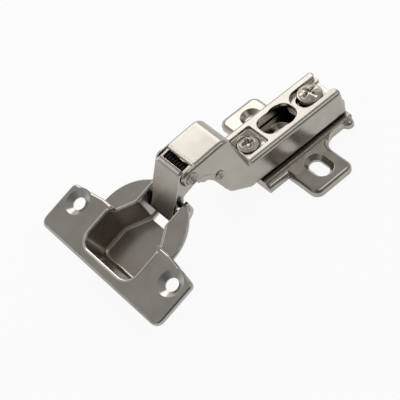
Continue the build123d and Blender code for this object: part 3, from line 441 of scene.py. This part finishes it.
def cup_mouth(material):
    """The rounding that drawing leaves round the pocket's mouth: a round bead let into the edge, a little proud.

    Its centre line is the pocket's outline, moved outwards and down into the sheet. Where the crescents start it
    goes down by the rim's step, along an S-shaped fall. The bead grows from both ends with the square root of the
    distance.
    """
    bead_radius, bead_depth, end_points = 0.62, 0.47, 4
    plan = [(CHANNEL_REAR, CHANNEL_HALF_WIDTH), (CHANNEL_START, CHANNEL_HALF_WIDTH),
            (POCKET_SHOULDER, POCKET_HALF_WIDTH), (POCKET_FRONT, POCKET_HALF_WIDTH),
            (POCKET_FRONT, -POCKET_HALF_WIDTH), (POCKET_SHOULDER, -POCKET_HALF_WIDTH),
            (CHANNEL_START, -CHANNEL_HALF_WIDTH), (CHANNEL_REAR, -CHANNEL_HALF_WIDTH)]
    line = rounded(plan, POCKET_CORNER_RADII)
    ahead = np.gradient(line, axis=0)
    ahead /= np.linalg.norm(ahead, axis=1, keepdims=True)
    outward = np.stack([-ahead[:, 1], ahead[:, 0]], axis=1)
    outward *= np.sign(np.sum(outward * (line - line.mean(0)), axis=1, keepdims=True))
    level = -RIM_STEP * s_curve(np.clip((line[:, 0] - RIM_STEP_START) / RIM_STEP_LENGTH, 0, 1))
    centre = line + outward * (bead_depth + POCKET_WALL_LEAN * level)[:, None]
    turn = np.linspace(0, 2 * pi, 20, endpoint=False)
    swell = bead_radius * np.sqrt(np.clip(from_end(line) / end_points, 0, 1))
    along = centre[:, :1] + outward[:, :1] * swell[:, None] * np.cos(turn)
    across = centre[:, 1:] + outward[:, 1:] * swell[:, None] * np.cos(turn)
    up = (level - bead_depth)[:, None] + swell[:, None] * np.sin(turn)
    piece = turned("cup_mouth_edge", in_cup(along, across, up), material)
    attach(piece, "cup")


def web_lip(material):
    """The rounded front edge of the web over the spring: a flat oval drawn across the arm, with its ends closed.

    The oval's long axis lies in the web's slope; along the middle of the width it keeps its size, and over the last
    stretch at both ends it shrinks with the square root of what is left.
    """
    end, half_length, half_thickness = 0.4, 1.0, 0.44
    slope = radians(WEB_SLOPE)
    edge, inside = WEB_HALF_WIDTH, 5.8
    across = np.concatenate([-edge + end * (1 - np.cos(np.linspace(0, pi / 2, 8))), np.linspace(-inside, inside, 24),
                             edge - end * (1 - np.cos(np.linspace(pi / 2, 0, 8)))])
    size = np.sqrt(np.clip(np.minimum(across + edge, edge - across) / end, 0, 1) * 0.9 + 0.0001)[:, None]
    turn = np.linspace(0, 2 * pi, 28, endpoint=False)
    run = half_length * np.sign(np.cos(turn)) * abs(np.cos(turn)) ** 0.8
    lift = half_thickness * np.sign(np.sin(turn)) * abs(np.sin(turn)) ** 0.6
    x = WEB_EDGE[0] + size * (run * cos(slope) - lift * sin(slope))
    z = WEB_EDGE[1] + size * (run * sin(slope) + lift * cos(slope))
    rings = np.stack([x, np.broadcast_to(across[:, None], x.shape), z], axis=-1) * MM
    piece = turned("web_front_edge", rings, material)
    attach(piece, "arm")


def throat_walls(material):
    """The flat of both walls carried down to their sheared edge under the knuckle, round a wide throat.

    The edge's line runs from the nose round the throat to the crank's foot. Each strip reaches from that line up
    into the flat wall, and at both ends the line draws back into the wall along an S-shaped curve.
    """
    reach, drawn_back, ease_points, step = 1.9, 1.7, 18, 0.1
    line = rounded([THROAT_NOSE, THROAT_CORNER, THROAT_FOOT], [THROAT_RADIUS], step)
    ahead = np.gradient(line, axis=0)
    upward = np.stack([-ahead[:, 1], ahead[:, 0]], axis=1) / np.linalg.norm(ahead, axis=1, keepdims=True)
    ease = s_curve(np.clip(from_end(line)[:, None] / ease_points, 0, 1))
    lower, upper = line + upward * drawn_back * (1 - ease), line + upward * reach
    inner, outer = KNUCKLE_WALL
    for name, near, far in (("throat_near", -outer, -inner), ("throat_far", inner, outer)):
        rings = np.empty((len(line), 4, 3))
        for i, (edge, y) in enumerate(((upper, near), (lower, near), (lower, far), (upper, far))):
            rings[:, i] = np.stack([edge[:, 0], np.full(len(line), y), edge[:, 1]], axis=1)
        piece = turned(name, rings * MM, material)
        piece.data.shade_flat()
        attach(piece, "arm")


def well_floor(material):
    """The dished floor round the front screw: square at the well's wall, round at the screw, and sinking inwards.

    Between the two outlines the distance from the middle is shared out evenly; the height falls gently, then turns
    down beside the head, and the skin closes underneath.
    """
    squareness = 9
    turn = np.linspace(0, 2 * pi, 144, endpoint=False)
    square = 1 / (abs(np.cos(turn) / WELL_HALF_LENGTH) ** squareness
                  + abs(np.sin(turn) / WELL_HALF_WIDTH) ** squareness) ** (1 / squareness)
    share = np.array([0, 0.1, 0.2, 0.35, 0.5, 0.65, 0.8, 0.9, 0.97, 1.0, 1.0, 1.0, 0.5, 0.0, 0.0])
    height = np.array([14.75, 14.56, 14.45, 14.36, 14.28, 14.18, 14.06, 13.96, 13.8, 13.6, 13.2, 12.6, 12.6,
                       12.6, 14.0])
    fine = np.linspace(0, len(share) - 1, 85)
    steps = np.arange(len(share))
    share, height = np.interp(fine, steps, share), np.interp(fine, steps, height)
    reach = square * (1 - share[:, None]) + WELL_SCREW_RADIUS * share[:, None]
    rings = np.stack([ADJUSTING_X + reach * np.cos(turn), reach * np.sin(turn),
                      np.broadcast_to(height[:, None], reach.shape)], axis=-1) * MM
    piece = hoop("well_floor", rings, material)
    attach(piece, "arm")


# Stage and light

def lay_floor():
    """A pale floor just under the hinge. It glows white to the camera and in reflections and keeps a soft shadow."""
    reach, gap, glow_share = 4.0, 0.0002, 0.92
    under = cad_box[0][2] - gap
    corners = [(-reach, -reach, under), (reach, -reach, under), (reach, reach, under), (-reach, reach, under)]
    floor_mesh = bpy.data.meshes.new("floor")
    floor_mesh.from_pydata(corners, [], [(0, 1, 2, 3)])
    floor = bpy.data.objects.new("floor", floor_mesh)
    bpy.context.scene.collection.objects.link(floor)
    paper = bpy.data.materials.new("pale_paper")
    tree = empty_tree(paper)
    rays = add(tree, "ShaderNodeLightPath").outputs
    seen = reckon(tree, "MAXIMUM", rays["Is Camera Ray"],
                  reckon(tree, "MAXIMUM", rays["Is Glossy Ray"], rays["Is Transmission Ray"]))
    matt = add(tree, "ShaderNodeBsdfPrincipled", {"Base Color": srgb("f4f4f3"), "Roughness": 0.9})
    glow = add(tree, "ShaderNodeEmission", {"Color": srgb("ffffff"), "Strength": 1.0})
    share = reckon(tree, "MULTIPLY", seen, glow_share)
    mixed = add(tree, "ShaderNodeMixShader",
                links={0: share, 1: matt.outputs["BSDF"], 2: glow.outputs["Emission"]})
    add(tree, "ShaderNodeOutputMaterial", links={"Surface": mixed.outputs["Shader"]})
    floor_mesh.materials.append(paper)


def light_studio():
    """A grey studio, brighter low down behind the arm and dimmer in front, and white where the camera sees it."""
    behind_arm, before_arm = (0.5, 0.86, 0.0), (-0.25, -0.8, 0.55)
    base, sweep_adds, dimmed = 0.5, 0.6, 0.35
    world = bpy.data.worlds.new("studio")
    bpy.context.scene.world = world
    tree = empty_tree(world)
    rays = add(tree, "ShaderNodeLightPath").outputs
    way = add(tree, "ShaderNodeTexCoord").outputs["Generated"]
    height = add(tree, "ShaderNodeSeparateXYZ", links={"Vector": way}).outputs["Z"]
    rear = add(tree, "ShaderNodeVectorMath", {"operation": "DOT_PRODUCT", 1: behind_arm}, {0: way})
    sweep = reckon(tree, "MULTIPLY", span(tree, height, 0.5, 0.25, 0.0, 1.0),
                   span(tree, rear.outputs["Value"], 0.1, 0.6, 0.0, 1.0))
    front = add(tree, "ShaderNodeVectorMath", {"operation": "DOT_PRODUCT", 1: before_arm}, {0: way})
    dim = span(tree, front.outputs["Value"], 0.5, 0.92, 1.0, dimmed)
    bright = reckon(tree, "ADD", reckon(tree, "MULTIPLY", sweep, sweep_adds), base)
    level = reckon(tree, "MULTIPLY", bright, dim)
    around = add(tree, "ShaderNodeBackground", {"Color": srgb("fffdfa")}, {"Strength": level})
    behind = add(tree, "ShaderNodeBackground", {"Color": srgb("ffffff"), "Strength": 1.0})
    mixed = add(tree, "ShaderNodeMixShader",
                links={0: rays["Is Camera Ray"], 1: around.outputs["Background"], 2: behind.outputs["Background"]})
    add(tree, "ShaderNodeOutputWorld", links={"Surface": mixed.outputs["Shader"]})


def hang_lamp(name, toward, distance, width, height, power):
    """A soft box seen from the hinge in a direction, its long side along the arm."""
    back = Vector(toward).normalized()
    side = (Vector((1, 0, 0)) - back * back.x).normalized()
    data = bpy.data.lights.new(name, "AREA")
    data.shape = "RECTANGLE"
    data.size, data.size_y, data.energy = width, height, power
    box = bpy.data.objects.new(name, data)
    turn = Matrix((side, back.cross(side), back)).transposed().to_4x4()
    box.matrix_world = Matrix.Translation(Vector(HINGE_MIDDLE) + back * distance) @ turn
    bpy.context.scene.collection.objects.link(box)


place_camera()

# Satin nickel on the arm and links: a calm warm grey with soft reflections and a painted highlight on rounded edges
SHEET = plated_metal("satin_nickel_on_pressed_steel", "aba69e", "a49f97", "d6d3cd", 0.25, 0.3)
# The same finish for strips that run on from a flat wall, where no edge may show
SMOOTH = plated_metal("satin_nickel_without_edges", "aba69e", "a49f97", "d6d3cd", 0.25, 0.02)
# A little shinier on the plate, slightly domed, and painted darker in its hollows and where the arm shades it
PLATE = plated_metal("satin_nickel_on_pressed_plate", "aaa59d", "9c978f", "dedbd5", 0.17, 0.35,
                     painted_shade="7a746b", shade_reach_mm=3.0, dome=5.0, alone=False, shade_from=0.72)
# Cooler and smoother on the drawn cup, with a brownish painted shade deep in its pocket
CUP = plated_metal("satin_nickel_on_drawn_steel", "aeaba6", "a5a29d", "dad7d2", 0.19, 0.12,
                   painted_shade="9d9389", shade_reach_mm=14.0)
# A painted highlight: paler nickel on the bead round the pocket's mouth, for its bright line
CUP_EDGE_HIGHLIGHT = plated_metal("nickel_with_painted_highlight_on_the_mouth", "cfccc7", "c0bcb6", "e4e1dc", 0.2, 0.1)
# Bright zinc on the screws, with painted shade in the recesses and threads
SCREW = plated_metal("zinc_on_cold_headed_steel", "cdc5b9", "a3998c", "ece8e0", 0.18, 0.12,
                     painted_shade="4b433a", shade_reach_mm=1.4)
# Nickel on the peened pins, with painted shade in the groove and the dimple
PIN = plated_metal("nickel_on_drawn_pin_steel", "b5b0a8", "9a948b", "dcd9d3", 0.24, 0.1,
                   painted_shade="4a423a", shade_reach_mm=0.8)
WIRE = spring_steel()

dress("hinge_arm", SHEET)
dress("outer_link", SHEET)
dress("inner_link", SHEET)
dress("mounting_plate", PLATE)
dress("hinge_cup", CUP)
dress("torsion_spring", WIRE)
cup_mouth(CUP_EDGE_HIGHLIGHT)
web_lip(SHEET)
throat_walls(SMOOTH)
well_floor(SHEET)
rivet("arm_pin_front", "arm", 1.5, 7.4, PIN)
rivet("arm_pin_rear", "arm", 1.2, 7.4, PIN)
rivet("cup_pin_outer", "cup", 1.2, 7.35, PIN)
rivet("cup_pin_inner", "cup", 1.0, 7.88, PIN)
screw("fixing_screw", "fixing_screw", FIXING_STEM, 2.0, 1.3, 6.6, SCREW)
screw("side_adjusting_screw", "adjusting_screw", ADJUSTING_STEM, -19.0, 0.9, 4.6, SCREW)
lay_floor()
light_studio()
for soft_box in SOFT_BOXES:
    hang_lamp(*soft_box)

view = bpy.context.scene.view_settings
view.view_transform = "Standard"
